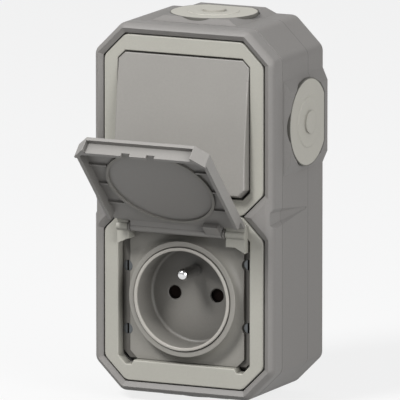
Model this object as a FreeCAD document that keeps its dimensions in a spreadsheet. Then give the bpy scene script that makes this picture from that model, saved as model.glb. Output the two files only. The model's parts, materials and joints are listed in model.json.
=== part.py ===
import FreeCAD, Part
import os
import re
from math import acos, cos, pi, sin

import Sketcher

# Outdoor weatherproof socket: a surface box with a rocker switch above and a lidded socket below.
# Frame: +Z up, +X to the right, the front faces -Y, the origin is the centre of the back face on the wall.
# A depth is measured from the wall towards the front, so a point at depth d has Y = -d.

SIZES = {
    # housing
    "module_pitch": 71.0,          # centre distance of the two modules, and the side of each module's place
    "module_gap": 0.3,             # gap between the two surrounds
    "frame_chamfer": 9.4,          # corner chamfer of a module's place
    "rim_width": 4.45,             # housing wall outside the module places
    "crest_rise": 0.8,             # crest of the rim above the surrounds
    "crest_width": 2.4,            # crest line, measured out from the module places
    "rim_round": 3.8,              # rounding of the rim towards the sides
    "band_drop": 0.5,              # inner edge of the dished band below the surrounds
    "body_corner_round": 4.5,
    "box_wall": 2.2,
    "box_floor": 2.5,
    "seam_bevel": 0.4,
    "ledge_thickness": 2.6,
    "surround_seal_thickness": 0.8,
    "surround_clearance": 0.35,
    "waist_cut": 1.5,              # depth of the waist notch at the front
    "waist_lip": 4.6,              # half height of the notch at its lips
    "waist_floor": 2.65,           # half height of the notch at its floor
    "waist_end_depth": 15.8,       # where the notch runs out towards the wall
    # cable entries
    "entry_rise": 2.15,            # entry boss proud of the housing
    "entry_overhang": 3.4,         # disc beyond the flat of its boss
    "entry_slope": 4.9,
    "entry_margin": 1.3,           # boss in front of the disc
    "entry_setback": 1.2,          # seam in front of the boss
    "entry_wall_gap": 3.0,         # wall to the flat edge of the disc
    "entry_flange_reach": 2.9,     # flange of the seal beyond its hole
    "entry_groove": 0.35,          # groove round the disc
    "entry_bevel": 2.04,           # front edge of the boss
    "entry_flange": 1.2,
    "entry_hole_radius": 15.0,
    "entry_lip": 0.8,
    "entry_ring_radius": 10.1,
    "entry_ring_rise": 0.3,
    "entry_button_radius": 4.6,
    "entry_button_rise": 0.8,
    "entry_membrane": 1.3,
    # fixings
    "wall_hole_inset_across": 19.75,
    "wall_hole_inset_up": 9.25,
    "wall_hole_radius": 2.25,
    "wall_collar_radius": 4.4,
    "wall_collar_rise": 2.0,
    "post_radius": 3.3,
    "post_offset": 27.0,           # support posts from the centre of their module
    "cover_screw_inset": 5.2,      # from the inside of the box wall
    "cover_screw_up": 20.0,
    "screw_shank": 1.45,
    "screw_head_radius": 2.6,
    "screw_head_height": 1.4,
    "screw_length": 10.0,
    "screw_slot": 0.8,
    "screw_play": 0.15,
    # surrounds
    "surround_thickness": 5.0,
    "surround_wall": 1.5,
    "surround_roof": 1.8,
    "surround_corner_round": 4.0,
    "surround_edge_round": 0.5,
    "surround_side": 6.25,         # from the edge of the place to the opening
    "surround_end": 6.8,
    "aperture_chamfer": 3.2,
    "gasket_width": 1.0,
    "gasket_rise": 1.4,
    # rocker
    "rocker_gap": 0.25,
    "rocker_corner_gap": 0.6,
    "rocker_proud": 3.1,           # middle of the level face in front of the surround
    "rocker_face_radius": 430.0,
    "rocker_pivot_rise": 2.6,      # pivot in front of the seam
    "rocker_tilt": 5.3,            # from level to either end
    "rocker_wall": 1.8,
    "rocker_skirt": 0.6,           # rear edge in front of the pivot
    "rocker_edge_round": 0.5,
    "rocker_rib_inset": 2.7,
    "cradle_half_width": 11.7,
    "cradle_half_height": 9.0,
    "cradle_back": 1.6,            # behind the pivot
    "cradle_front": 4.0,           # in front of the pivot
    "trunnion_radius": 1.5,
    "trunnion_setback": 0.1,
    "running_clearance": 0.05,
    "nose_radius": 1.6,
    "nose_length": 15.0,
    "nose_round": 0.96,
    # mechanisms
    "support_half": 34.0,
    "support_thickness": 2.4,
    "support_chamfer": 10.0,
    "housing_inset": 2.2,          # switch housing inside the outline of the socket base
    "flange_lip": 0.9,
    "flange_thickness": 2.0,
    "housing_wall": 2.0,
    "lever_room": 10.0,            # lever axis to the back of the housings
    "back_plate_thickness": 1.6,
    "housing_roof": 2.4,
    "nose_gap": 1.0,
    "lever_width": 6.0,
    "lever_plate": 0.8,
    "lever_tilt": 6.0,
    "lever_hub_radius": 1.0,
    "lever_gap": 0.3,
    "window_gap": 0.9,             # above and below the cradle
    "contact_spread": 11.0,
    "contact_button_radius": 1.5,
    "ear_thickness": 2.4,
    "ear_half_height": 4.0,
    # socket
    "cup_radius": 19.85,
    "ring_width": 1.35,
    "lid_room": 0.5,               # lid above the ring
    "earth_pin_proud": 0.1,        # tip of the earth pin above the ring
    "cup_floor_thickness": 1.8,
    "pin_spacing": 19.0,
    "pin_hole_radius": 2.75,
    "earth_pin_radius": 2.4,
    "earth_pin_rise": 10.0,
    "earth_pin_length": 14.0,
    "earth_pin_reach": 1.4,        # flange of the earth pin beyond its side
    "earth_pin_round": 2.04,
    "earth_pin_relief": 0.2,       # shank thinner than the pin
    "earth_pin_root": 0.3,         # shank above the cup's floor
    "collar_width": 2.4,
    "ring_rise": 0.7,              # ring above the collar
    "flare_width": 3.6,
    "plate_thickness": 1.1,
    "strip_width": 3.85,           # dark strip beside the plate
    "socket_frame_thickness": 2.0,
    "fit_gap": 0.2,
    "base_half": 24.5,
    "head_radius": 2.1,
    "head_offset": 1.45,           # screw heads beyond the plate
    "head_up_left": 10.9,
    "head_spacing": 25.9,
    "head_up_right": 15.2,
    "head_height": 1.3,
    "shutter_overlap": 0.35,
    "shutter_cover": 1.0,
    "shutter_thickness": 2.2,
    "shutter_gap": 0.2,
    "shutter_spring_radius": 1.0,
    "sleeve_wall": 0.75,
    "sleeve_setback": 1.5,
    "sleeve_foot": 3.4,            # part of the sleeve that isn't slotted
    "foot_width": 7.0,
    "foot_thickness": 3.5,
    "terminal_screw_radius": 1.25,
    "terminal_head_radius": 1.7,
    # lid and hinge
    "hinge_rise": 2.1,             # hinge axis in front of the surrounds
    "hinge_drop": 7.2,
    "hinge_pin_radius": 0.9,
    "lid_open": 136.0,
    "barrel_radius": 1.85,
    "hinge_play": 0.6,
    "washer_thickness": 0.7,
    "washer_radius": 2.0,
    "knuckle_start": 20.0,         # inner end of the right knuckle
    "knuckle_start_left": 23.3,
    "knuckle_bend": 24.1,          # where the lower edge of a knuckle turns down
    "knuckle_side_gap": 0.8,
    "knuckle_gap": 0.2,
    "knuckle_top": 3.0,
    "knuckle_inner_end": 12.3,
    "knuckle_outer_end": 14.5,
    "knuckle_barrel": 1.6,
    "lid_side_gap": 0.35,
    "lid_face": 2.5,               # outer face of the lid in front of the hinge axis
    "lid_plate": 1.8,
    "lid_top": 1.6,
    "lid_shoulder": 3.7,
    "lid_end_gap": 0.3,
    "lid_corner": 5.0,
    "lid_wall": 1.6,
    "knuckle_end_gap": 0.9,
    "lid_wall_depth": 3.1,         # side walls behind the hinge axis
    "lid_end_depth": 4.3,          # end walls behind the hinge axis
    "grip_side_gap": 1.1,
    "grip_gap": 0.2,
    "shelf_half_width": 22.5,
    "shelf_rise": 1.7,
    "lid_seal_width": 1.2,
    "lid_rib_width": 0.9,
    "lid_rib_height": 0.9,
    "lid_rib_spread": 12.6,
    "lid_notch_across": 5.5,
    "lid_notch_width": 3.6,
    "lid_notch_depth": 1.4,
    "web_reach": 1.3,
    "lid_seal_thickness": 0.9,
    "rim_crown": 0.43,             # flat of the blank above the crest, before the band is cut
    "gasket_inset": 1.2,
    "tongue_depth": 2.5,
    "tongue_wall": 1.2,
    "seal_play": 0.05,
    "seal_inset": 0.6,
    "seal_width": 1.8,
    "hinge_pin_setback": 1.05,
    "knuckle_bevel": 1.2,
    "cradle_corner": 1.5,
    "housing_corner": 2.0,
    "ear_rim": 1.4,
    "terminal_reach": 13.0,
    "terminal_head": 1.2,
    "terminal_drop": 17.0,
    "earth_terminal_offset": 8.5,
    "frame_screw_radius": 1.2,
    "frame_screw_length": 4.5,
    "well_flange": 1.5,
    "well_flange_reach": 2.0,
    "cup_corner_round": 1.2,
    "ring_edge_round": 0.35,
    "collar_round": 0.35,
    "pin_hole_bevel": 0.4,
    "spring_room": 4.0,
    "spring_spread": 8.0,
    "arm_start": 11.9,
    "arm_end": 18.4,
    "arm_drop": 6.0,
    "arm_depth": 1.7,
    "lid_edge_round": 0.6,
}

# Sizes that follow from others
DERIVED = {
    # housing, with the cable entries that set its depth
    "entry_clip": "entry_hole_radius",
    "entry_centre": "entry_clip + entry_wall_gap",
    "entry_disc_radius": "entry_hole_radius + entry_flange_reach",
    "entry_front": "entry_centre + entry_disc_radius + entry_margin",
    "entry_flat": "entry_disc_radius - entry_overhang",
    "entry_base": "entry_flat + entry_slope",
    "seam_depth": "entry_front + entry_setback",
    "face_depth": "seam_depth + ledge_thickness + surround_seal_thickness + surround_thickness",
    "cavity_half_width": "module_pitch / 2 + rim_width - box_wall",
    "cavity_half_height": "module_pitch + rim_width - box_wall",
    "wall_hole_spacing_across": "2 * (cavity_half_width - wall_hole_inset_across)",
    "wall_hole_spacing_up": "2 * (cavity_half_height - wall_hole_inset_up)",
    "cover_screw_across": "cavity_half_width - cover_screw_inset",
    # openings and what fills them
    "aperture_half_width": "module_pitch / 2 - surround_side",
    "aperture_half_height": "module_pitch / 2 - surround_end",
    "rocker_corner": "aperture_chamfer + rocker_corner_gap",
    "rocker_face_depth": "face_depth + rocker_proud",
    "rocker_pivot_depth": "seam_depth + rocker_pivot_rise",
    "rocker_back_depth": "rocker_pivot_depth + rocker_skirt",
    "rocker_rib_across": "cradle_half_width - rocker_rib_inset",
    "cradle_back_depth": "rocker_pivot_depth - cradle_back",
    "cradle_front_depth": "rocker_pivot_depth + cradle_front",
    "trunnion_length": "lever_gap + ear_thickness - trunnion_setback",
    "ear_crest": "trunnion_radius + ear_rim",
    "lever_axis_depth": "rocker_pivot_depth - nose_length - nose_gap - lever_hub_radius",
    "lever_half_length": "contact_spread + contact_button_radius",
    "housing_back_depth": "lever_axis_depth - lever_room",
    "housing_half": "base_half - housing_inset",
    "housing_flange_half": "base_half + flange_lip",
    # lid and hinge, which set the height of the ring
    "hinge_depth": "face_depth + hinge_rise",
    "ring_depth": "hinge_depth + lid_face - lid_plate - lid_room",
    "collar_depth": "ring_depth - ring_rise",
    "knuckle_front_depth": "hinge_depth + lid_face - lid_plate - knuckle_gap",
    "knuckle_end": "aperture_half_width - knuckle_side_gap",
    "barrel_right": "knuckle_start - washer_thickness - hinge_play",
    "barrel_left": "knuckle_start_left - washer_thickness - hinge_play",
    "hinge_pin_half_length": "knuckle_end - hinge_pin_setback",
    "lid_half_width": "aperture_half_width - lid_side_gap",
    "lid_end": "module_pitch / 2 - hinge_drop + aperture_half_height - lid_end_gap",
    "lid_wall_start": "knuckle_outer_end - hinge_drop + knuckle_end_gap",
    "grip_half_width": "shelf_half_width + grip_side_gap",
    "grip_setback": "shelf_rise + grip_gap",
    "lid_centre": "hinge_drop - module_pitch / 2",
    # socket
    "socket_frame_depth": "seam_depth + flange_thickness + socket_frame_thickness",
    "plate_depth": "socket_frame_depth + plate_thickness",
    "cup_floor_depth": "ring_depth + earth_pin_proud - earth_pin_length",
    "ring_radius": "cup_radius + ring_width",
    "collar_radius": "ring_radius + collar_width",
    "flare_radius": "collar_radius + flare_width",
    "lid_seal_radius": "ring_radius + collar_width / 2",
    "lid_rib_start": "lid_seal_radius + lid_seal_width / 2 + fit_gap",
    "lid_rib_end_start": "sqrt(lid_rib_start ^ 2 - (lid_rib_spread - lid_rib_width / 2) ^ 2)",
    "well_flange_radius": "ring_radius + well_flange_reach",
    "plate_half_width": "aperture_half_width - strip_width",
    "head_across": "plate_half_width + head_offset",
    "earth_pin_flange": "earth_pin_radius + earth_pin_reach",
    "earth_shank_radius": "earth_pin_radius - earth_pin_relief",
    "earth_terminal_up": "earth_pin_rise + earth_terminal_offset",
    "shutter_half_width": "pin_spacing / 2 + pin_hole_radius + shutter_overlap",
    "shutter_half_height": "pin_hole_radius + shutter_cover",
    "shutter_travel": "shutter_half_height + pin_hole_radius + shutter_gap",
    "shutter_seat_depth": "cup_floor_depth - cup_floor_thickness",
    "sleeve_bore": "earth_pin_radius + running_clearance",
    "sleeve_radius": "sleeve_bore + sleeve_wall",
    "sleeve_length": "shutter_seat_depth - shutter_thickness - shutter_gap - sleeve_setback"
                     " - housing_back_depth - foot_thickness",
}
NAMES = [*SIZES, *DERIVED]

doc = FreeCAD.newDocument("WeatherproofSocket")
sheet = doc.addObject("Spreadsheet::Sheet", "sizes")
for row, alias in enumerate(NAMES, 1):
    sheet.set("A%d" % row, alias)
    sheet.set("B%d" % row, str(SIZES[alias]) if alias in SIZES else "=" + DERIVED[alias])
    sheet.setAlias("B%d" % row, alias)
doc.recompute()

S = {alias: float(sheet.get(alias)) for alias in NAMES}
PLANES = {"front": "XZ_Plane", "side": "YZ_Plane", "top": "XY_Plane"}
UPPER = "module_pitch / 2"
LOWER = "-module_pitch / 2"
LEDGE = "(seam_depth + ledge_thickness)"
SURROUND_BACK = "(face_depth - surround_thickness)"
pieces = []


def point_at_sheet(word):
    name = word.group()
    return "sizes." + name if name in NAMES else name


def sized(text):
    """Points each size's name in an expression at the sheet."""
    return re.sub(r"[a-z_]+", point_at_sheet, text)


def bind(item, **expressions):
    """Binds properties of a document object to sizes of the sheet."""
    for name, text in expressions.items():
        item.setExpression(name, sized(text))


def new_piece(label, up="0"):
    """A body for one piece, drawn about its module's centre and placed at that height."""
    body = doc.addObject("PartDesign::Body", label)
    body.Label = label
    body.setExpression(".Placement.Base.z", sized(up))
    pieces.append(body)
    return body


def new_sketch(body, plane, offset):
    """An empty sketch on one of the body's origin planes, moved out by an offset."""
    sketch = body.newObject("Sketcher::SketchObject", "Outline")
    support = [item for item in body.Origin.OriginFeatures if item.Role == PLANES[plane]][0]
    sketch.AttachmentSupport = [(support, "")]
    sketch.MapMode = "FlatFace"
    sketch.setExpression(".AttachmentOffset.Base.z", sized(offset))
    return sketch


def hold(sketch, geometry, vertex, across, up):
    """Holds one point of a sketch at a place given by two expressions."""
    for kind, text in (("DistanceX", across), ("DistanceY", up)):
        index = sketch.addConstraint(Sketcher.Constraint(kind, -1, 1, geometry, vertex, 1.0))
        sketch.setExpression("Constraints[%d]" % index, sized(text))


def draw_polygon(sketch, points):
    """A closed polygon whose corners are bound to sizes."""
    first = sketch.GeometryCount
    count = len(points)
    ring = [FreeCAD.Vector(cos(2 * pi * i / count), sin(2 * pi * i / count), 0) for i in range(count)]
    for i in range(count):
        sketch.addGeometry(Part.LineSegment(ring[i], ring[(i + 1) % count]))
    for i in range(count):
        sketch.addConstraint(Sketcher.Constraint("Coincident", first + i, 2, first + (i + 1) % count, 1))
    for i, (across, up) in enumerate(points):
        hold(sketch, first + i, 1, across, up)


def draw_circle(sketch, across, up, radius):
    """A circle whose centre and radius are bound to sizes."""
    circle = sketch.addGeometry(Part.Circle(FreeCAD.Vector(1, 1, 0), FreeCAD.Vector(0, 0, 1), 1.0))
    index = sketch.addConstraint(Sketcher.Constraint("Radius", circle, 1.0))
    sketch.setExpression("Constraints[%d]" % index, sized(radius))
    hold(sketch, circle, 3, across, up)


def polygon(body, plane, offset, *outlines):
    """A sketch of one or more closed polygons."""
    sketch = new_sketch(body, plane, offset)
    for points in outlines:
        draw_polygon(sketch, points)
    return sketch


def circles(body, plane, offset, *rounds):
    """A sketch of one or more circles, each given as across, up, radius."""
    sketch = new_sketch(body, plane, offset)
    for across, up, radius in rounds:
        draw_circle(sketch, across, up, radius)
    return sketch


def clipped_disc(body, plane, offset, across, up, radius, clip):
    """A disc about (across, up), cut flat on the side that faces the wall."""
    sketch = new_sketch(body, plane, offset)
    reach = S["entry_disc_radius"] + S["entry_groove"]
    opening = acos((S["entry_clip"] + S["entry_groove"]) / reach)
    flat_towards = 0 if plane == "side" else pi / 2
    centre = FreeCAD.Vector(-S["entry_centre"], S["module_pitch"] / 2, 0)
    if plane == "top":
        centre = FreeCAD.Vector(0, -S["entry_centre"], 0)
    circle = Part.Circle(centre, FreeCAD.Vector(0, 0, 1), reach)
    start, end = flat_towards + opening, flat_towards + 2 * pi - opening
    arc = sketch.addGeometry(Part.ArcOfCircle(circle, start, end))
    ends = [centre + FreeCAD.Vector(cos(a), sin(a), 0) * reach for a in (end, start)]
    line = sketch.addGeometry(Part.LineSegment(ends[0], ends[1]))
    index = sketch.addConstraint(Sketcher.Constraint("Radius", arc, reach))
    sketch.setExpression("Constraints[%d]" % index, sized(radius))
    for kind, number, place in (("DistanceX", centre.x, across), ("DistanceY", centre.y, up)):
        index = sketch.addConstraint(Sketcher.Constraint(kind, -1, 1, arc, 3, number))
        sketch.setExpression("Constraints[%d]" % index, sized(place))
    sketch.addConstraint(Sketcher.Constraint("Coincident", arc, 2, line, 1))
    sketch.addConstraint(Sketcher.Constraint("Coincident", arc, 1, line, 2))
    sketch.addConstraint(Sketcher.Constraint("Vertical" if plane == "side" else "Horizontal", line))
    chord = 2 * sin(opening) * reach
    index = sketch.addConstraint(Sketcher.Constraint("Distance", line, chord))
    sketch.setExpression("Constraints[%d]" % index, sized("2 * sqrt((%s) ^ 2 - (%s) ^ 2)" % (radius, clip)))
    return sketch


def feature(body, kind, profile, **expressions):
    """Adds a feature on a sketch to a body and makes it the body's result."""
    item = body.newObject("PartDesign::" + kind, kind)
    item.Profile = profile
    bind(item, **expressions)
    body.Tip = item
    return item


def pad(body, profile, length):
    return feature(body, "Pad", profile, Length=length)


def pocket(body, profile, length):
    return feature(body, "Pocket", profile, Length=length)


def turn(body, kind, profile, axis="V_Axis"):
    """A full revolution or groove about one of the sketch's own axes."""
    item = feature(body, kind, profile)
    item.ReferenceAxis = (profile, [axis])
    item.Angle = 360
    return item


def cut_between(body, first, last):
    """Removes the straight-sided body between two outlines."""
    item = feature(body, "SubtractiveLoft", first)
    item.Sections = [(last, [""])]
    item.Ruled = True
    return item


def named_edges(shape, wanted):
    """The names of the edges for which wanted() holds."""
    return ["Edge%d" % number for number, edge in enumerate(shape.Edges, 1) if wanted(edge)]


def round_off(body, radius, wanted):
    """Rounds the edges for which wanted() holds."""
    doc.recompute()
    base = body.Tip
    item = body.newObject("PartDesign::Fillet", "Round")
    item.Base = (base, named_edges(base.Shape, wanted))
    bind(item, Radius=radius)
    body.Tip = item


def bevel(body, leg, wanted):
    """Bevels the edges for which wanted() holds."""
    doc.recompute()
    base = body.Tip
    item = body.newObject("PartDesign::Chamfer", "Bevel")
    item.Base = (base, named_edges(base.Shape, wanted))
    bind(item, Size=leg)
    body.Tip = item


def middle(edge):
    return edge.valueAt((edge.FirstParameter + edge.LastParameter) / 2)


def along_depth(edge):
    """Whether a straight edge runs from back to front."""
    if not isinstance(edge.Curve, Part.Line):
        return False
    return abs(edge.Curve.Direction.y) > 0.999


def flat_at(edge, depth):
    """Whether an edge lies at one depth."""
    box = edge.BoundBox
    return abs(box.YMin + depth) < 0.01 and abs(box.YMax + depth) < 0.01


def octagon(half_width, half_height, corner):
    """The corner points of a rectangle with bevelled corners, about the sketch's origin."""
    wide, high, cut = "(%s)" % half_width, "(%s)" % half_height, "(%s)" % corner
    right = [(wide, "-%s + %s" % (high, cut)), (wide, "%s - %s" % (high, cut)),
             ("%s - %s" % (wide, cut), high)]
    left = [("-%s + %s" % (wide, cut), high), ("-" + wide, "%s - %s" % (high, cut))]
    low = [("-" + wide, "-%s + %s" % (high, cut)), ("-%s + %s" % (wide, cut), "-" + high)]
    return right + left + low + [("%s - %s" % (wide, cut), "-" + high)]


def grown(half_width, half_height, corner, offset):
    """The same bevelled rectangle with every side moved out by an offset."""
    wide = "%s + (%s)" % (half_width, offset)
    high = "%s + (%s)" % (half_height, offset)
    return octagon(wide, high, "%s + (%s) * (2 - sqrt(2))" % (corner, offset))


def rectangle(left, right, low, high):
    return [(right, low), (right, high), (left, high), (left, low)]


def shifted(points, up):
    return [(across, "%s + %s" % (height, up)) for across, height in points]


HOUSING = ("module_pitch / 2", "module_pitch", "frame_chamfer")
PLACE = ("module_pitch / 2", "module_pitch / 2", "frame_chamfer")
APERTURE = ("aperture_half_width", "aperture_half_height", "aperture_chamfer")


def cover_screw_places():
    """Where the four cover screws stand, seen from the front."""
    places = []
    for side in ("", "-"):
        for end in ("", "-"):
            places.append((side + "cover_screw_across", "%s(module_pitch / 2 + cover_screw_up)" % end))
    return places


def support_screw_places(up=""):
    """Where a support's two screws stand, on one diagonal of its module."""
    upper = ("-post_offset", "post_offset" + up)
    lower = ("post_offset", "-post_offset" + up)
    return [upper, lower]


# Back box

def notch_outline(lip, floor, cut, wall):
    """Section of the waist notch on the right side, open to the outside."""
    outside = "module_pitch / 2 + rim_width + waist_cut"
    foot = "%s - %s" % (wall, cut)
    return [(outside, "-(%s)" % lip), (outside, lip), (wall, lip), (foot, floor), (foot, "-(%s)" % floor),
            (wall, "-(%s)" % lip)]


def cut_waist(body, side):
    """The shallow notch that tapers from the front towards the wall, on both sides."""
    wall = "module_pitch / 2 + rim_width"
    front = notch_outline("waist_lip", "waist_floor", "waist_cut", wall)
    back = notch_outline("waist_lip / 10", "waist_floor / 10", "waist_cut / 10", wall)
    if side < 0:
        front = [("-(%s)" % across, up) for across, up in front]
        back = [("-(%s)" % across, up) for across, up in back]
    near = polygon(body, "front", "face_depth + 2 * crest_rise", front)
    far = polygon(body, "front", "waist_end_depth", back)
    cut_between(body, near, far)


def boss_outline(side, vertical):
    """Section of an entry boss, from inside the wall to its face."""
    wall = "module_pitch + rim_width" if vertical else "module_pitch / 2 + rim_width"
    inner = "%s - box_wall / 2" % wall
    outer = "%s + entry_rise" % wall
    spread = "entry_base + (entry_base - entry_flat) * box_wall / 2 / entry_rise"
    centre = "0" if vertical else "module_pitch / 2"
    points = [(inner, "-(%s)" % spread), (outer, "-entry_flat"), (outer, "entry_flat"), (inner, spread)]
    placed = []
    for out, along in points:
        outward = "%d * (%s)" % (side, out)
        placed.append((along, outward) if vertical else (outward, "%s + %s" % (along, centre)))
    return placed


def make_back_box():
    body = new_piece("back_box")
    pad(body, polygon(body, "front", "0", grown(*HOUSING, "rim_width")), "seam_depth")
    round_off(body, "body_corner_round", along_depth)
    for vertical in (True, False):
        for side in (1, -1):
            pad(body, polygon(body, "front", "0", boss_outline(side, vertical)), "entry_front")
    front = S["entry_front"]
    bevel(body, "entry_bevel", lambda edge: flat_at(edge, front)
          and edge.Length > 2 * S["entry_flat"] - 0.1 and outside_wall(middle(edge)))
    inner = grown(*HOUSING, "rim_width - box_wall")
    pocket(body, polygon(body, "front", "seam_depth", inner), "seam_depth - box_floor")
    inner_width = S["cavity_half_width"]
    inner_height = S["cavity_half_height"]
    round_off(body, "body_corner_round - box_wall", lambda edge: along_depth(edge)
              and abs(middle(edge).x) < inner_width + 0.01 and abs(middle(edge).z) < inner_height + 0.01)
    posts = [(across, up, "post_radius") for across, up in cover_screw_places()]
    pad(body, circles(body, "front", "box_floor", *posts), "seam_depth - box_floor")
    supports = support_screw_places(" + " + UPPER) + support_screw_places(" - module_pitch / 2")
    posts = [(across, up, "post_radius") for across, up in supports]
    pad(body, circles(body, "front", "box_floor", *posts), "seam_depth - support_thickness - box_floor")
    collars = wall_hole_places("wall_collar_radius")
    pad(body, circles(body, "front", "box_floor", *collars), "wall_collar_rise")
    bores = [(across, up, "screw_shank") for across, up in cover_screw_places() + supports]
    pocket(body, circles(body, "front", "seam_depth", *bores), "screw_length + support_thickness")
    through = "box_floor + wall_collar_rise"
    pocket(body, circles(body, "front", through, *wall_hole_places("wall_hole_radius")), through)
    for side in (1, -1):
        cut_waist(body, side)
    cut_entries(body)
    corner = inner_width + inner_height - S["frame_chamfer"] + 0.5
    bevel(body, "seam_bevel", lambda edge: flat_at(edge, S["seam_depth"])
          and (abs(middle(edge).x) > inner_width + 0.3 or abs(middle(edge).z) > inner_height + 0.3
               or abs(middle(edge).x) + abs(middle(edge).z) > corner))
    return body


def outside_wall(point):
    """Whether a point lies outside the housing's plain walls."""
    half_width = S["module_pitch"] / 2 + S["rim_width"]
    half_height = S["module_pitch"] + S["rim_width"]
    return abs(point.x) > half_width + 0.5 or abs(point.z) > half_height + 0.5


def wall_hole_places(radius):
    places = []
    for side in ("", "-"):
        for end in ("", "-"):
            across = side + "wall_hole_spacing_across / 2"
            places.append((across, end + "wall_hole_spacing_up / 2", radius))
    return places


def cut_entries(body):
    """A hole through each entry boss, with a shallow seat for the seal's flange."""
    seat = "entry_disc_radius + entry_groove"
    clip = "entry_clip + entry_groove"
    for side in (1, -1):
        face = "module_pitch / 2 + rim_width + entry_rise"
        offset = face if side > 0 else "-(%s)" % face
        sketch = clipped_disc(body, "side", offset, "-entry_centre", "module_pitch / 2", seat, clip)
        sink(body, sketch, "entry_flange", side)
        hole = circles(body, "side", offset, ("-entry_centre", "module_pitch / 2", "entry_hole_radius"))
        sink(body, hole, "entry_rise + box_wall + fit_gap", side)
        face = "module_pitch + rim_width + entry_rise"
        offset = face if side > 0 else "-(%s)" % face
        sketch = clipped_disc(body, "top", offset, "0", "-entry_centre", seat, clip)
        sink(body, sketch, "entry_flange", side)
        hole = circles(body, "top", offset, ("0", "-entry_centre", "entry_hole_radius"))
        sink(body, hole, "entry_rise + box_wall + fit_gap", side)


def sink(body, sketch, depth, side):
    """A pocket that goes inwards from a face on the given side."""
    item = pocket(body, sketch, depth)
    item.Reversed = side < 0


# Front cover and its gasket

def make_front_cover():
    body = new_piece("front_cover")
    top = "face_depth + crest_rise + rim_crown"
    blank = polygon(body, "front", "seam_depth", grown(*HOUSING, "rim_width"))
    pad(body, blank, "%s - seam_depth" % top)
    round_off(body, "body_corner_round", along_depth)
    top_depth = S["face_depth"] + S["crest_rise"] + S["rim_crown"]
    round_off(body, "rim_round", lambda edge: flat_at(edge, top_depth))
    bevel(body, "seam_bevel", lambda edge: flat_at(edge, S["seam_depth"]))
    slope = "(crest_width - surround_clearance) / (crest_rise + band_drop)"
    for up in (UPPER, LOWER):
        outer = shifted(grown(*PLACE, "crest_width + rim_crown * %s" % slope), up)
        inner = shifted(grown(*PLACE, "surround_clearance"), up)
        band_foot = polygon(body, "front", "face_depth - band_drop", inner)
        cut_between(body, polygon(body, "front", top, outer), band_foot)
        pocket(body, polygon(body, "front", top, inner), "%s - %s" % (top, LEDGE))
        opening = shifted(octagon(*APERTURE), up)
        pocket(body, polygon(body, "front", LEDGE, opening), "ledge_thickness")
    tongue = grown(*HOUSING, "rim_width - box_wall - fit_gap")
    inside = grown(*HOUSING, "rim_width - box_wall - fit_gap - tongue_wall")
    pad(body, polygon(body, "front", "seam_depth - tongue_depth", tongue, inside), "tongue_depth")
    groove = pocket(body, gasket_ring(body), "gasket_rise")
    groove.Reversed = True
    heads = [(across, up, "screw_head_radius + screw_play") for across, up in cover_screw_places()]
    pocket(body, circles(body, "front", LEDGE, *heads), "screw_head_height")
    shanks = [(across, up, "screw_shank + screw_play") for across, up in cover_screw_places()]
    pocket(body, circles(body, "front", LEDGE, *shanks), "ledge_thickness")
    for side in (1, -1):
        cut_waist(body, side)


def gasket_ring(body):
    outer = grown(*HOUSING, "rim_width - gasket_inset")
    inner = grown(*HOUSING, "rim_width - gasket_inset - gasket_width")
    return polygon(body, "front", "seam_depth", outer, inner)


def make_cover_gasket():
    body = new_piece("cover_gasket")
    pad(body, gasket_ring(body), "gasket_rise")


# Cable entry seals

def make_entry_seal(label, axes, across, up):
    """A membrane seal about its own Z axis, its flat edge towards +X, placed in one entry."""
    body = new_piece(label)
    wall = "(entry_rise + box_wall)"
    plug = "(entry_hole_radius - seal_play)"
    top = "entry_ring_rise + entry_button_rise"
    hollow = "%s - entry_membrane" % plug
    profile = [("0", top), ("entry_button_radius", top), ("entry_button_radius", "entry_ring_rise"),
               ("entry_ring_radius", "entry_ring_rise"), ("entry_ring_radius + entry_ring_rise", "0"),
               ("entry_disc_radius", "0"), ("entry_disc_radius", "-entry_flange"), (plug, "-entry_flange"),
               (plug, "-%s" % wall), ("%s + entry_lip" % plug, "-%s" % wall),
               (plug, "-%s - 2 * entry_lip" % wall), (hollow, "-%s - 2 * entry_lip" % wall),
               (hollow, "-entry_membrane"), ("0", "-entry_membrane")]
    turn(body, "Revolution", polygon(body, "front", "0", profile))
    twice = "2 * entry_disc_radius"
    beyond = rectangle("entry_clip", twice, "-" + twice, twice)
    reach = "2 * %s" % wall
    pocket(body, polygon(body, "top", reach, beyond), "2 * (%s)" % reach)
    body.Placement.Rotation = FreeCAD.Rotation(*[FreeCAD.Vector(*axis) for axis in axes], "ZXY")
    body.setExpression(".Placement.Base.x", sized(across))
    body.setExpression(".Placement.Base.y", sized("-entry_centre"))
    body.setExpression(".Placement.Base.z", sized(up))


def make_entry_seals():
    side = "module_pitch / 2 + rim_width + entry_rise"
    end = "module_pitch + rim_width + entry_rise"
    make_entry_seal("top_entry_seal", ((0, 1, 0), (-1, 0, 0), (0, 0, 1)), "0", end)
    make_entry_seal("bottom_entry_seal", ((0, 1, 0), (1, 0, 0), (0, 0, -1)), "0", "-(%s)" % end)
    make_entry_seal("right_entry_seal", ((0, 1, 0), (0, 0, 1), (1, 0, 0)), side, UPPER)
    make_entry_seal("left_entry_seal", ((0, 1, 0), (0, 0, -1), (-1, 0, 0)), "-(%s)" % side, UPPER)


# Screws

def make_screws(label, places, up, head_front, head, height, shank, length, reverse=False):
    """A group of slotted screws whose heads all end at one depth; the shanks point to the wall."""
    body = new_piece(label, up)
    body.AllowCompound = True
    back = "(%s) - (%s)" % (head_front, height)
    pad(body, circles(body, "front", back, *[(x, z, head) for x, z in places]), height)
    stems = circles(body, "front", "%s - (%s)" % (back, length), *[(x, z, shank) for x, z in places])
    pad(body, stems, length)
    slots = []
    for x, z in places:
        left, right = "%s - screw_slot / 2" % x, "%s + screw_slot / 2" % x
        slots.append(rectangle(left, right, "%s - (%s)" % (z, head), "%s + (%s)" % (z, head)))
    pocket(body, polygon(body, "front", head_front, *slots), "(%s) / 2" % height)


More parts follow.
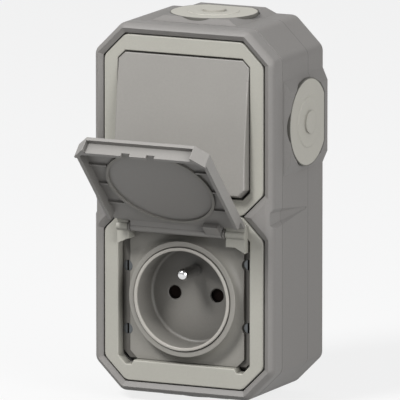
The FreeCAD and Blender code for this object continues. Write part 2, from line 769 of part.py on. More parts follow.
def make_rear_screws(label, places, up):
    """Terminal screws, driven from behind through a back plate."""
    body = new_piece(label, up)
    body.AllowCompound = True
    back = "(housing_back_depth - back_plate_thickness)"
    heads = [(x, z, "terminal_head_radius") for x, z in places]
    pad(body, circles(body, "front", "%s - terminal_head" % back, *heads), "terminal_head")
    stems = [(x, z, "terminal_screw_radius") for x, z in places]
    pad(body, circles(body, "front", back, *stems), "back_plate_thickness + foot_thickness")


# Surrounds

def make_surround(label, up, opening):
    """A hollow moulded frame round one module, with its opening."""
    body = new_piece(label, up)
    outline = grown(*PLACE, "-module_gap / 2")
    pad(body, polygon(body, "front", SURROUND_BACK, outline), "surround_thickness")
    round_off(body, "surround_corner_round", along_depth)
    pocket(body, polygon(body, "front", "face_depth", opening), "surround_thickness")
    front = S["face_depth"]
    round_off(body, "surround_edge_round", lambda edge: flat_at(edge, front))
    outer = grown(*PLACE, "-module_gap / 2 - surround_wall")
    inner = grown(*APERTURE, "surround_wall")
    hollow = polygon(body, "front", SURROUND_BACK, outer, inner)
    pocket(body, hollow, "surround_thickness - surround_roof").Reversed = True
    return body


def make_surround_seal(label, up):
    """The flat seal between a surround and the cover's ledge."""
    body = new_piece(label, up)
    outer = grown(*PLACE, "-seal_inset")
    inner = grown(*PLACE, "-seal_inset - seal_width")
    pad(body, polygon(body, "front", LEDGE, outer, inner), "%s - %s" % (SURROUND_BACK, LEDGE))


def make_socket_surround():
    """The lower surround: a shelf for the lid's grip below, and the hinge knuckles above."""
    low = "-aperture_half_height"
    step = "shelf_half_width + shelf_rise / 2"
    shelf = [("aperture_half_width - aperture_chamfer", low), (step, low),
             ("shelf_half_width", "%s + shelf_rise" % low), ("-shelf_half_width", "%s + shelf_rise" % low),
             ("-(%s)" % step, low)]
    opening = octagon(*APERTURE)[:7] + [shelf[4], shelf[3], shelf[2], shelf[1], shelf[0]]
    body = make_surround("socket_surround", LOWER, opening)
    for side in (1, -1):
        add_knuckle(body, side)


def add_knuckle(body, side):
    """One hinge knuckle: a block across the opening's upper corner, with a barrel round the pin."""
    top = "module_pitch / 2"
    sign = "" if side > 0 else "-"
    inner_end = "knuckle_start" if side > 0 else "knuckle_start_left"
    near, far = sign + inner_end, sign + "knuckle_end"
    block = [(near, "%s - knuckle_inner_end" % top), (sign + "knuckle_bend", "%s - knuckle_inner_end" % top),
             (far, "%s - knuckle_outer_end" % top), (far, "%s - knuckle_top" % top),
             (near, "%s - knuckle_top" % top)]
    back = "plate_depth + fit_gap"
    pad(body, polygon(body, "front", back, block), "knuckle_front_depth - (%s)" % back)
    bevel(body, "knuckle_bevel", lambda edge: knuckle_ridge(edge, side))
    axis = ("-hinge_depth", "%s - hinge_drop" % top)
    start = "knuckle_start" if side > 0 else "-knuckle_end"
    pad(body, circles(body, "side", start, (*axis, "knuckle_barrel")), "knuckle_end - " + inner_end)
    bore = circles(body, "side", near, (*axis, "hinge_pin_radius"))
    pocket(body, bore, "hinge_pin_half_length - " + inner_end).Reversed = side > 0


def knuckle_ridge(edge, side):
    """The front top edge of a knuckle's block."""
    point = middle(edge)
    top = S["module_pitch"] / 2 - S["knuckle_top"]
    front = S["knuckle_front_depth"]
    return flat_at(edge, front) and abs(point.z - top) < 0.01 and point.x * side > 0


# Rocker and cradle, each drawn about the pivot axis

def placed_at_pivot(body, depth, up, tilt, axis):
    """Places a body drawn about an axis along X at that axis, turned by an angle."""
    body.Placement.Rotation = FreeCAD.Rotation(FreeCAD.Vector(*axis), 1)
    body.setExpression(".Placement.Base.y", sized("-(%s)" % depth))
    body.setExpression(".Placement.Base.z", sized(up))
    body.setExpression(".Placement.Rotation.Angle", sized(tilt))


def roller(name, radius, half_width, depth):
    """A cylinder along X, its axis at a depth from the pivot."""
    item = doc.addObject("Part::Cylinder", name)
    item.Placement.Rotation = FreeCAD.Rotation(FreeCAD.Vector(0, 1, 0), 90)
    bind(item, Radius=radius, Height="2 * (%s)" % half_width)
    item.setExpression(".Placement.Base.x", sized("-(%s)" % half_width))
    item.setExpression(".Placement.Base.y", sized("-(%s)" % depth))
    return item


def crowned_block(name, inset, back):
    """The rocker's outer form, or its hollow when inset: round ends and a crowned face."""
    half_width = "aperture_half_width - rocker_gap - (%s)" % inset
    reach = "aperture_half_height - rocker_gap - (%s)" % inset
    corner = "rocker_corner - (%s) * (2 - sqrt(2))" % inset
    face = "rocker_face_depth - rocker_pivot_depth"
    block = doc.addObject("PartDesign::Body", name + "Block")
    pad(block, polygon(block, "front", back, octagon(half_width, reach, corner)), "%s - (%s)" % (face, back))
    ends = roller(name + "Ends", reach, half_width, "0")
    crown_radius = "rocker_face_radius - (%s)" % inset
    crown = roller(name + "Crown", crown_radius, half_width, face + " - rocker_face_radius")
    item = doc.addObject("Part::MultiCommon", name)
    item.Shapes = [block, ends, crown]
    return item


def make_rocker():
    back = "rocker_back_depth - rocker_pivot_depth"
    shell = doc.addObject("Part::Cut", "RockerShell")
    shell.Base = crowned_block("RockerForm", "0", back)
    shell.Tool = crowned_block("RockerHollow", "rocker_wall", "%s - rocker_wall" % back)
    doc.recompute()
    body = new_piece("rocker")
    body.BaseFeature = shell
    doc.recompute()
    body.Tip = body.Group[0]
    for side in (1, -1):
        left = "%d * rocker_rib_across - rocker_wall / 2" % side
        right = "%d * rocker_rib_across + rocker_wall / 2" % side
        rib = rectangle(left, right, "-cradle_half_height", "cradle_half_height")
        foot = "cradle_front_depth - rocker_pivot_depth"
        height = "rocker_face_depth - cradle_front_depth - rocker_wall / 2"
        pad(body, polygon(body, "front", foot, rib), height)
    face = S["rocker_face_depth"] - S["rocker_pivot_depth"]
    round_off(body, "rocker_edge_round", lambda edge: rocker_rim(edge, face))
    placed_at_pivot(body, "rocker_pivot_depth", UPPER, "rocker_tilt", (-1, 0, 0))


def rocker_rim(edge, face):
    """The edges round the rocker's front face."""
    box = edge.BoundBox
    return box.YMax < -(face - 2.5) and edge.Length > 3.0


def make_cradle():
    """The rocker's carrier, with trunnions at the pivot and a nose that works the contact lever."""
    body = new_piece("rocker_cradle")
    back = "(cradle_back_depth - rocker_pivot_depth)"
    front = "(cradle_front_depth - rocker_pivot_depth)"
    block = octagon("cradle_half_width", "cradle_half_height", "cradle_corner")
    pad(body, polygon(body, "front", back, block), "%s - %s" % (front, back))
    reach = "cradle_half_width + trunnion_length"
    pad(body, circles(body, "side", "-(%s)" % reach, ("0", "0", "trunnion_radius")), "2 * (%s)" % reach)
    pad(body, circles(body, "front", "-nose_length", ("0", "0", "nose_radius")), "nose_length")
    tip = -S["nose_length"]
    round_off(body, "nose_round", lambda edge: flat_at(edge, tip))
    placed_at_pivot(body, "rocker_pivot_depth", UPPER, "rocker_tilt", (-1, 0, 0))


# Switch mechanism

def make_switch_housing():
    body = new_piece("switch_housing", UPPER)
    top = "(seam_depth + flange_thickness)"
    square = octagon("housing_half", "housing_half", "housing_corner")
    pad(body, polygon(body, "front", "housing_back_depth", square), "%s - housing_back_depth" % top)
    flange = octagon("housing_flange_half", "housing_flange_half", "housing_corner")
    pad(body, polygon(body, "front", "seam_depth", flange), "flange_thickness")
    inside = "housing_half - housing_wall"
    hollow = polygon(body, "front", "housing_back_depth", octagon(inside, inside, "housing_corner"))
    pocket(body, hollow, "%s - housing_roof - housing_back_depth" % top).Reversed = True
    window = rectangle("-cradle_half_width - lever_gap", "cradle_half_width + lever_gap",
                       "-cradle_half_height - window_gap", "cradle_half_height + window_gap")
    pocket(body, polygon(body, "front", top, window), "housing_roof")
    for side in (1, -1):
        inner = "cradle_half_width + lever_gap"
        start = inner if side > 0 else "-(%s + ear_thickness)" % inner
        base = "-(%s - housing_roof / 2)" % top
        crest = "-(rocker_pivot_depth + ear_crest)"
        ear = [(base, "-ear_half_height"), (base, "ear_half_height"), (crest, "ear_half_height / 2"),
               (crest, "-ear_half_height / 2")]
        pad(body, polygon(body, "side", start, ear), "ear_thickness")
    outside = "%s + 2 * ear_thickness" % inner
    bore = circles(body, "side", outside, ("-rocker_pivot_depth", "0", "trunnion_radius + running_clearance"))
    pocket(body, bore, "2 * (%s)" % outside)


def make_back_plate(label, up, half, places):
    """The plate that closes a mechanism behind, with holes for its terminal screws."""
    body = new_piece(label, up)
    back = "housing_back_depth - back_plate_thickness"
    pad(body, polygon(body, "front", back, octagon(half, half, "housing_corner")), "back_plate_thickness")
    holes = [(x, z, "terminal_screw_radius + screw_play") for x, z in places]
    pocket(body, circles(body, "front", "housing_back_depth", *holes), "back_plate_thickness")


def make_support(label, up, window, threads=()):
    """The plate that carries a mechanism, screwed on two posts of the box under the cover's ledge."""
    body = new_piece(label, up)
    back = "seam_depth - support_thickness"
    pad(body, polygon(body, "front", back, octagon("support_half", "support_half", "support_chamfer")),
        "support_thickness")
    square = octagon("%s + fit_gap" % window, "%s + fit_gap" % window, "housing_corner")
    pocket(body, polygon(body, "front", "seam_depth", square), "support_thickness")
    heads = [(x, z, "screw_head_radius + screw_play") for x, z in support_screw_places()]
    pocket(body, circles(body, "front", "seam_depth", *heads), "screw_head_height")
    holes = [(x, z, "screw_shank + screw_play") for x, z in support_screw_places()]
    pocket(body, circles(body, "front", "seam_depth", *holes), "support_thickness")
    notches = []
    for across in ("cover_screw_across", "-cover_screw_across"):
        for height in ("cover_screw_up", "-cover_screw_up"):
            notches.append((across, height, "post_radius + fit_gap"))
    pocket(body, circles(body, "front", "seam_depth", *notches), "support_thickness")
    if threads:
        bores = [(x, z, "frame_screw_radius") for x, z in threads]
        pocket(body, circles(body, "front", "seam_depth", *bores), "support_thickness")


def make_contact_lever():
    """The tilting contact, drawn about its own axis."""
    body = new_piece("contact_lever")
    half = "lever_width / 2"
    pad(body, circles(body, "side", "-(%s)" % half, ("0", "0", "lever_hub_radius")), "lever_width")
    strip = rectangle("-(%s)" % half, half, "-lever_half_length", "lever_half_length")
    pad(body, polygon(body, "front", "lever_plate / 2", strip), "lever_plate")
    buttons = [("0", end + "contact_spread", "contact_button_radius") for end in ("", "-")]
    pad(body, circles(body, "front", "-lever_plate / 2", *buttons), "lever_plate")
    placed_at_pivot(body, "lever_axis_depth", UPPER, "lever_tilt", (1, 0, 0))


def make_contact(label, up, post_up, top, side):
    """A fixed contact: a post under the lever and a foot that leads to its terminal screw."""
    body = new_piece(label, up)
    post = rectangle("-foot_width / 2", "foot_width / 2", "%s - contact_button_radius" % post_up,
                     "%s + contact_button_radius" % post_up)
    pad(body, polygon(body, "front", "housing_back_depth", post), "%s - housing_back_depth" % top)
    near = "-%d * foot_width / 2" % side
    far = "%d * (terminal_reach + foot_width / 2)" % side
    foot = rectangle(near, far, "%s - foot_width / 2" % post_up, "%s + foot_width / 2" % post_up)
    pad(body, polygon(body, "front", "housing_back_depth", foot), "foot_thickness")
    hole = circles(body, "front", "housing_back_depth + foot_thickness",
                   ("%d * terminal_reach" % side, post_up, "terminal_screw_radius"))
    pocket(body, hole, "foot_thickness")


SWITCH_TERMINALS = [("terminal_reach", "0"), ("-terminal_reach", "contact_spread"),
                    ("-terminal_reach", "-contact_spread")]


def make_switch():
    make_switch_housing()
    make_back_plate("switch_back_plate", UPPER, "housing_half", SWITCH_TERMINALS)
    make_support("switch_support", UPPER, "housing_half")
    make_screws("switch_support_screws", support_screw_places(), UPPER, "seam_depth", "screw_head_radius",
                "screw_head_height", "screw_shank", "screw_length")
    make_contact_lever()
    post = "lever_axis_depth - lever_hub_radius - lever_gap"
    make_contact("common_contact", UPPER, "0", post, 1)
    button = "lever_axis_depth - lever_plate / 2 - (contact_spread + contact_button_radius) * sin(lever_tilt)"
    make_contact("upper_contact", UPPER, "contact_spread", "%s - lever_gap" % button, -1)
    make_contact("lower_contact", UPPER, "-contact_spread", "%s - lever_gap" % button, -1)
    make_rear_screws("switch_terminal_screws", SWITCH_TERMINALS, UPPER)


# Socket

FRAME_SCREWS = [("-head_across", "head_up_left"), ("-head_across", "head_up_left - head_spacing"),
                ("head_across", "head_up_right"), ("head_across", "head_up_right - head_spacing")]


def make_socket_cover():
    """The grey plate round the cup, drawn up into a flared collar."""
    body = new_piece("socket_cover", LOWER)
    half_height = "(aperture_half_height - shelf_rise - fit_gap)"
    plate = octagon("plate_half_width", half_height, "aperture_chamfer")
    pad(body, polygon(body, "front", "socket_frame_depth", plate), "plate_depth - socket_frame_depth")
    disc = circles(body, "front", "socket_frame_depth", ("0", "0", "flare_radius"))
    pad(body, disc, "collar_depth - socket_frame_depth")
    flare = "(flare_radius - collar_radius)"
    section = circles(body, "top", "0", ("flare_radius", "-(plate_depth + %s)" % flare, flare))
    turn(body, "Groove", section)
    bore = circles(body, "front", "collar_depth", ("0", "0", "ring_radius + fit_gap"))
    pocket(body, bore, "collar_depth - socket_frame_depth")
    beside = "plate_half_width + flare_radius"
    sides = [rectangle("plate_half_width", beside, "-flare_radius", "flare_radius"),
             rectangle("-(%s)" % beside, "-plate_half_width", "-flare_radius", "flare_radius"),
             rectangle("-flare_radius", "flare_radius", half_height, "2 * flare_radius"),
             rectangle("-flare_radius", "flare_radius", "-2 * flare_radius", "-%s" % half_height)]
    for outline in sides:
        pocket(body, polygon(body, "front", "collar_depth", outline), "collar_depth - socket_frame_depth")
    rounds = [(x, z, "head_radius + 2 * fit_gap") for x, z in FRAME_SCREWS]
    pocket(body, circles(body, "front", "collar_depth", *rounds), "collar_depth - socket_frame_depth")
    collar = S["collar_depth"]
    round_off(body, "collar_round", lambda edge: flat_at(edge, collar))


def make_socket_well():
    """The cup that takes the plug, with its pale ring, pin holes and the flange that holds it."""
    body = new_piece("socket_well", LOWER)
    back = "shutter_seat_depth"
    pad(body, circles(body, "front", back, ("0", "0", "ring_radius")), "ring_depth - %s" % back)
    behind = "seam_depth + flange_thickness - well_flange"
    flange = circles(body, "front", behind, ("0", "0", "well_flange_radius"))
    pad(body, flange, "well_flange")
    cup = circles(body, "front", "ring_depth", ("0", "0", "cup_radius"))
    pocket(body, cup, "ring_depth - cup_floor_depth")
    floor = S["cup_floor_depth"]
    round_off(body, "cup_corner_round", lambda edge: flat_at(edge, floor))
    rim = S["ring_depth"]
    round_off(body, "ring_edge_round", lambda edge: flat_at(edge, rim))
    holes = [("pin_spacing / 2", "0", "pin_hole_radius"), ("-pin_spacing / 2", "0", "pin_hole_radius"),
             ("0", "earth_pin_rise", "earth_shank_radius + running_clearance")]
    pocket(body, circles(body, "front", "cup_floor_depth", *holes), "cup_floor_thickness")
    bevel(body, "pin_hole_bevel", lambda edge: flat_at(edge, floor)
          and abs(middle(edge).z) < S["pin_hole_radius"] + 0.1 and edge.Length < 2 * S["pin_spacing"])


def make_socket_frame():
    """The dark frame behind the cover plate that clamps the socket to its support."""
    body = new_piece("socket_frame", LOWER)
    back = "(seam_depth + flange_thickness)"
    half_height = "aperture_half_height - shelf_rise - fit_gap"
    outline = octagon("aperture_half_width - fit_gap", half_height, "aperture_chamfer")
    pad(body, polygon(body, "front", back, outline), "socket_frame_depth - %s" % back)
    pocket(body, circles(body, "front", "socket_frame_depth", ("0", "0", "ring_radius + fit_gap")),
           "socket_frame_depth - %s" % back)
    heads = [(x, z, "head_radius + fit_gap / 2") for x, z in FRAME_SCREWS]
    pocket(body, circles(body, "front", "socket_frame_depth", *heads), "head_height")
    holes = [(x, z, "frame_screw_radius + screw_play") for x, z in FRAME_SCREWS]
    pocket(body, circles(body, "front", "socket_frame_depth", *holes), "socket_frame_depth - %s" % back)


SOCKET_TERMINALS = [("pin_spacing / 2", "-terminal_drop"), ("-pin_spacing / 2", "-terminal_drop"),
                    ("0", "earth_terminal_up")]


def make_socket_base():
    """The insulating base: the cup's seat, the shutter's chamber and a chamber for each contact."""
    body = new_piece("socket_base", LOWER)
    top = "(seam_depth + flange_thickness)"
    square = octagon("base_half", "base_half", "housing_corner")
    pad(body, polygon(body, "front", "housing_back_depth", square), "%s - housing_back_depth" % top)
    flange = octagon("housing_flange_half", "housing_flange_half", "housing_corner")
    pad(body, polygon(body, "front", "seam_depth", flange), "flange_thickness")
    seat = "shutter_seat_depth"
    bore = circles(body, "front", top, ("0", "0", "ring_radius + fit_gap"))
    pocket(body, bore, "%s - %s" % (top, seat))
    recess = circles(body, "front", top, ("0", "0", "well_flange_radius + fit_gap"))
    pocket(body, recess, "well_flange")
    room = rectangle("-shutter_half_width - shutter_gap", "shutter_half_width + shutter_gap",
                     "-shutter_half_height - shutter_travel - spring_room",
                     "shutter_half_height + shutter_gap")
    pocket(body, polygon(body, "front", seat, room), "shutter_thickness + shutter_gap")
    sleeve = "sleeve_radius + fit_gap"
    bores = [("pin_spacing / 2", "0", sleeve), ("-pin_spacing / 2", "0", sleeve)]
    pocket(body, circles(body, "front", seat, *bores), "%s - housing_back_depth" % seat)
    recess = circles(body, "front", seat, ("0", "earth_pin_rise", "earth_pin_flange + fit_gap"))
    pocket(body, recess, "flange_thickness")
    earth = ("0", "earth_pin_rise", "earth_shank_radius + running_clearance")
    pocket(body, circles(body, "front", seat, earth), "%s - housing_back_depth" % seat)
    half = "foot_width / 2 + fit_gap"
    rooms = []
    for x, z in SOCKET_TERMINALS[:2]:
        left, right = "%s - (%s)" % (x, half), "%s + (%s)" % (x, half)
        rooms.append(rectangle(left, right, "%s - (%s)" % (z, half), half))
    low, high = "earth_pin_rise - (%s)" % half, "earth_terminal_up + (%s)" % half
    rooms.append(rectangle("-(%s)" % half, half, low, high))
    back = polygon(body, "front", "housing_back_depth", *rooms)
    pocket(body, back, "foot_thickness + fit_gap").Reversed = True


def make_pin_contact(label, x):
    """A sleeve behind one pin hole, slotted to spring open, on a foot that leads to its terminal."""
    body = new_piece(label, LOWER)
    half = "foot_width / 2"
    foot = rectangle("%s - %s" % (x, half), "%s + %s" % (x, half), "-terminal_drop - %s" % half, half)
    pad(body, polygon(body, "front", "housing_back_depth", foot), "foot_thickness")
    start = "housing_back_depth + foot_thickness"
    pad(body, circles(body, "front", start, (x, "0", "sleeve_radius")), "sleeve_length")
    bore = circles(body, "front", "%s + sleeve_length" % start, (x, "0", "sleeve_bore"))
    pocket(body, bore, "sleeve_length")
    slot = rectangle("%s - screw_slot / 2" % x, "%s + screw_slot / 2" % x,
                     "-2 * sleeve_radius", "2 * sleeve_radius")
    pocket(body, polygon(body, "front", "%s + sleeve_length" % start, slot), "sleeve_length - sleeve_foot")
    hole = circles(body, "front", start, (x, "-terminal_drop", "terminal_screw_radius"))
    pocket(body, hole, "foot_thickness")


def make_earth_parts():
    body = new_piece("earth_pin", LOWER)
    start = "housing_back_depth + foot_thickness"
    root = "cup_floor_depth + earth_pin_root"
    shank = circles(body, "front", start, ("0", "earth_pin_rise", "earth_shank_radius"))
    pad(body, shank, "%s - (%s)" % (root, start))
    pad(body, circles(body, "front", root, ("0", "earth_pin_rise", "earth_pin_radius")),
        "earth_pin_length - earth_pin_root")
    flange = "shutter_seat_depth - flange_thickness"
    disc = circles(body, "front", flange, ("0", "earth_pin_rise", "earth_pin_flange"))
    pad(body, disc, "flange_thickness")
    tip = S["cup_floor_depth"] + S["earth_pin_length"]
    round_off(body, "earth_pin_round", lambda edge: flat_at(edge, tip))
    strap = new_piece("earth_strap", LOWER)
    half = "foot_width / 2"
    foot = rectangle("-" + half, half, "earth_pin_rise - %s" % half, "earth_terminal_up + %s" % half)
    pad(strap, polygon(strap, "front", "housing_back_depth", foot), "foot_thickness")
    hole = circles(strap, "front", start, ("0", "earth_terminal_up", "terminal_screw_radius"))
    pocket(strap, hole, "foot_thickness")


def make_shutter():
    """The sliding shutter behind the pin holes, and the two springs that hold it up."""
    body = new_piece("shutter", LOWER)
    back = "(shutter_seat_depth - shutter_thickness - shutter_gap / 2)"
    plate = rectangle("-shutter_half_width", "shutter_half_width",
                      "-shutter_half_height", "shutter_half_height")
    pad(body, polygon(body, "front", back, plate), "shutter_thickness")
    springs = new_piece("shutter_springs", LOWER)
    springs.AllowCompound = True
    mid = "-(%s + shutter_thickness / 2)" % back
    low = "-shutter_half_height - shutter_travel - spring_room"
    tubes = []
    bores = []
    for side in ("", "-"):
        tubes.append((side + "spring_spread", mid, "shutter_spring_radius"))
        bores.append((side + "spring_spread", mid, "shutter_spring_radius / 2"))
    length = "shutter_travel + spring_room"
    pad(springs, circles(springs, "top", low, *tubes), length)
    pocket(springs, circles(springs, "top", "%s + %s" % (low, length), *bores), length)


def make_socket():
    make_socket_cover()
    make_socket_well()
    make_socket_frame()
    make_screws("socket_frame_screws", FRAME_SCREWS, LOWER, "socket_frame_depth", "head_radius",
                "head_height", "frame_screw_radius", "frame_screw_length")
    make_socket_base()
    make_back_plate("socket_back_plate", LOWER, "base_half", SOCKET_TERMINALS)
    make_support("socket_support", LOWER, "base_half", FRAME_SCREWS)
    make_screws("socket_support_screws", support_screw_places(), LOWER, "seam_depth", "screw_head_radius",
                "screw_head_height", "screw_shank", "screw_length")
    make_pin_contact("live_contact", "(-pin_spacing / 2)")
    make_pin_contact("neutral_contact", "(pin_spacing / 2)")
    make_earth_parts()
    make_rear_screws("socket_terminal_screws", SOCKET_TERMINALS, LOWER)
    make_shutter()


# Lid and hinge, the lid drawn closed about the hinge axis

def lid_wall_outline(start):
    """The lid's side and end walls, set back in the middle of the free end as a finger grip."""
    wide, end, corner, thick = "lid_half_width", "lid_end", "lid_corner", "lid_wall"
    inner_corner = "(lid_corner - lid_wall * (2 - sqrt(2)))"
    outer = [(wide, "-(%s)" % start), (wide, "-(lid_end - lid_corner)"),
             ("lid_half_width - lid_corner", "-lid_end"), ("grip_half_width", "-lid_end"),
             ("grip_half_width", "-(lid_end - grip_setback)")]
    inner = [("lid_half_width - lid_wall - %s + grip_setback" % inner_corner,
              "-(lid_end - grip_setback - lid_wall)"),
             ("lid_half_width - lid_wall", "-(lid_end - lid_wall - %s)" % inner_corner),
             ("lid_half_width - lid_wall", "-(%s)" % start)]
    mirrored_outer = [("-(%s)" % x, z) for x, z in reversed(outer)]
    mirrored_inner = [("-(%s)" % x, z) for x, z in reversed(inner)]
    return outer + mirrored_outer + mirrored_inner + inner


def make_lid():
    body = new_piece("lid")
    plate = [("lid_half_width", "-(lid_end - lid_corner)"), ("lid_half_width", "-lid_shoulder"),
             ("barrel_right + washer_thickness", "-lid_shoulder"), ("barrel_right", "-lid_top"),
             ("-barrel_left", "-lid_top"), ("-(barrel_left + washer_thickness)", "-lid_shoulder"),
             ("-lid_half_width", "-lid_shoulder"),
             ("-lid_half_width", "-(lid_end - lid_corner)"), ("-(lid_half_width - lid_corner)", "-lid_end"),
             ("lid_half_width - lid_corner", "-lid_end")]
    inner_face = "(lid_face - lid_plate)"
    pad(body, polygon(body, "front", inner_face, plate), "lid_plate")
    sides = polygon(body, "front", "-lid_wall_depth", lid_wall_outline("lid_wall_start"))
    pad(body, sides, "lid_wall_depth + %s" % inner_face)
    band = polygon(body, "front", "-lid_end_depth", lid_wall_outline("lid_end - lid_corner - lid_wall / 2"))
    pad(body, band, "lid_end_depth - lid_wall_depth")
    width = "barrel_left + barrel_right"
    pad(body, circles(body, "side", "-barrel_left", ("0", "0", "barrel_radius")), width)
    web = [("-lid_face", "-lid_top"), ("-lid_face", "-lid_top - lid_plate"),
           ("-%s" % inner_face, "-lid_top - lid_plate"),
           ("barrel_radius / 2", "-web_reach"), ("-web_reach", "barrel_radius / 2")]
    pad(body, polygon(body, "side", "-barrel_left", web), width)
    arm = rectangle("arm_start", "arm_end", "-arm_drop", "-barrel_radius / 2")
    pad(body, polygon(body, "front", "-arm_depth", arm), "arm_depth + %s" % inner_face)
    add_lid_ribs(body)
    cut_lid_notches(body)
    bore = circles(body, "side", "barrel_right", ("0", "0", "hinge_pin_radius + running_clearance"))
    pocket(body, bore, width)
    outer = S["lid_face"]
    round_off(body, "lid_edge_round", lambda edge: flat_at(edge, outer)
              and middle(edge).z < -S["lid_shoulder"] - 0.1)
    placed_at_pivot(body, "hinge_depth", "-hinge_drop", "lid_open", (-1, 0, 0))


def add_lid_ribs(body):
    """The short ribs between the seal's ring and the lid's side walls."""
    inner_face = "(lid_face - lid_plate)"
    ribs = []
    for up in ("lid_rib_spread", "0", "-lid_rib_spread"):
        start = "lid_rib_start" if up == "0" else "lid_rib_end_start"
        low = "lid_centre + %s - lid_rib_width / 2" % up
        high = "lid_centre + %s + lid_rib_width / 2" % up
        ribs.append(rectangle(start, "lid_half_width - lid_wall / 2", low, high))
        ribs.append(rectangle("-(lid_half_width - lid_wall / 2)", "-" + start, low, high))
    pad(body, polygon(body, "front", "%s - lid_rib_height" % inner_face, *ribs), "lid_rib_height")


def cut_lid_notches(body):
    """Two notches in the free edge of the end wall, for the catch."""
    notches = []
    for side in ("", "-"):
        notches.append(rectangle("%slid_notch_across - lid_notch_width / 2" % side,
                                 "%slid_notch_across + lid_notch_width / 2" % side,
                                 "-lid_end", "-(lid_end - grip_setback - 2 * lid_wall)"))
    pocket(body, polygon(body, "front", "-lid_end_depth + lid_notch_depth", *notches), "lid_notch_depth")


def make_lid_seal():
    """The soft ring on the lid that closes on the collar."""
    body = new_piece("lid_seal")
    inner_face = "(lid_face - lid_plate)"
    ring = circles(body, "front", "%s - lid_seal_thickness" % inner_face,
                   ("0", "lid_centre", "lid_seal_radius + lid_seal_width / 2"),
                   ("0", "lid_centre", "lid_seal_radius - lid_seal_width / 2"))
    pad(body, ring, "lid_seal_thickness")
    placed_at_pivot(body, "hinge_depth", "-hinge_drop", "lid_open", (-1, 0, 0))


def make_hinge():
    pin = new_piece("hinge_pin")
    axis = ("-hinge_depth", "-hinge_drop")
    round_bar = circles(pin, "side", "-hinge_pin_half_length", (*axis, "hinge_pin_radius"))
    pad(pin, round_bar, "2 * hinge_pin_half_length")
    washers = new_piece("hinge_washers")
    washers.AllowCompound = True
    for start in ("barrel_right + hinge_play / 2", "-(knuckle_start_left - hinge_play / 2)"):
        rings = circles(washers, "side", start, (*axis, "washer_radius"),
                        (*axis, "hinge_pin_radius + running_clearance"))
        pad(washers, rings, "washer_thickness")


make_back_box()
make_front_cover()
make_cover_gasket()
make_screws("cover_screws", cover_screw_places(), "0", LEDGE, "screw_head_radius", "screw_head_height",
            "screw_shank", "screw_length")
make_entry_seals()
make_surround("switch_surround", UPPER, octagon(*APERTURE))
make_surround_seal("switch_surround_seal", UPPER)
make_rocker()
make_cradle()
make_switch()
make_socket_surround()
make_surround_seal("socket_surround_seal", LOWER)
make_socket()
make_hinge()
make_lid()
make_lid_seal()


doc.recompute()
os.makedirs("parts", exist_ok=True)
failed = [item for item in doc.Objects if "Invalid" in item.State or "Error" in item.State]
if failed:
    owners = {member.Name: piece.Label for piece in pieces for member in piece.Group}
    raise RuntimeError("failed: %s" % [(owners.get(item.Name), item.Name) for item in failed])
for piece in pieces:
    shape = piece.Shape
    if shape.isNull() or not shape.isValid() or not shape.Solids:
        raise RuntimeError("%s has no valid shape" % piece.Label)
    print(piece.Label, len(shape.Solids), round(shape.Volume, 1), shape.BoundBox)
    shape.exportStep("parts/%s.step" % piece.Label)
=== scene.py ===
import json
import math

import bpy
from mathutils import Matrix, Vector


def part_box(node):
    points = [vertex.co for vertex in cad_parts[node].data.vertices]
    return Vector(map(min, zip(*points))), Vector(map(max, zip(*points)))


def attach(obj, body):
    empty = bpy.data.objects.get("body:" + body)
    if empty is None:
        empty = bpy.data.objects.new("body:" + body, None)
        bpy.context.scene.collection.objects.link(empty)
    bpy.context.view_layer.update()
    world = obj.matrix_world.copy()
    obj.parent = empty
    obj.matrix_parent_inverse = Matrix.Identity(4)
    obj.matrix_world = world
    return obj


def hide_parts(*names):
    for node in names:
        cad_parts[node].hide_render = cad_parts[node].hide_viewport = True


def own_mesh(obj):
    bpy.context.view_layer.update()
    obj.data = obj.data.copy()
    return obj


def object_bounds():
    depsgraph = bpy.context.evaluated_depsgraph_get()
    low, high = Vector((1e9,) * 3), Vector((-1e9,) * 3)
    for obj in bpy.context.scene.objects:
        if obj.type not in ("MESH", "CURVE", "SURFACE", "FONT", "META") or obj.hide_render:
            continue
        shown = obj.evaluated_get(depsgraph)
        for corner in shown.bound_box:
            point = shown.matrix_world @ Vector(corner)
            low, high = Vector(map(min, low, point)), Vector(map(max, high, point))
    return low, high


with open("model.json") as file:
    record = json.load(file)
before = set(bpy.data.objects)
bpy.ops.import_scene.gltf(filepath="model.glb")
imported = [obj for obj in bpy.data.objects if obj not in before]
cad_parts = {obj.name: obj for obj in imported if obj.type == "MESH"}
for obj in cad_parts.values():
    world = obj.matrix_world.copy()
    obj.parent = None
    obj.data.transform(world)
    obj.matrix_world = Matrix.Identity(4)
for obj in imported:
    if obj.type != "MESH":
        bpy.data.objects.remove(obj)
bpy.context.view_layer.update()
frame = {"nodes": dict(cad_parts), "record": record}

# Photograph's camera: line of sight, distance, middle of the picture in metres, and the picture's scale
AZIMUTH = math.radians(25.36)
ELEVATION = math.radians(10.18)
DISTANCE = 4.944
MIDDLE = Vector((0.0004, -0.0322, 0.0026))
PIXELS_PER_METRE = 2480.0
PICTURE_WIDTH = 400.0
SENSOR_WIDTH = 36.0
CAMERA_REACH = 50.0

# Depths in metres in front of the wall: the fine line round the box, the shoulder from which the cup
# shows its pale ring, and the floor of the socket's screw slots, where shade is painted
LINE_DEPTH = 0.0141
RING_SHOULDER = 0.0483
SLOT_DEPTH = 0.0421

# Fine line round the box: half width in metres, strength, and its shade of the plastic's colour
LINE_HALF_WIDTH = 0.00016
LINE_STRENGTH = 0.55
LINE_SHADE = 0.25

# Painted gap shadow, a dark line where a cable entry's membrane meets the box, and the axes that the
# membranes face along
RIM_WIDTH = 0.00045
RIM_STRENGTH = 0.85
RIM_SHADE = 0.2
ACROSS, DEPTH, UP = 0, 1, 2

# Painted shade inside the pin holes, how far it reaches in metres in front of the shutter
HOLE_LENGTH = 0.0015
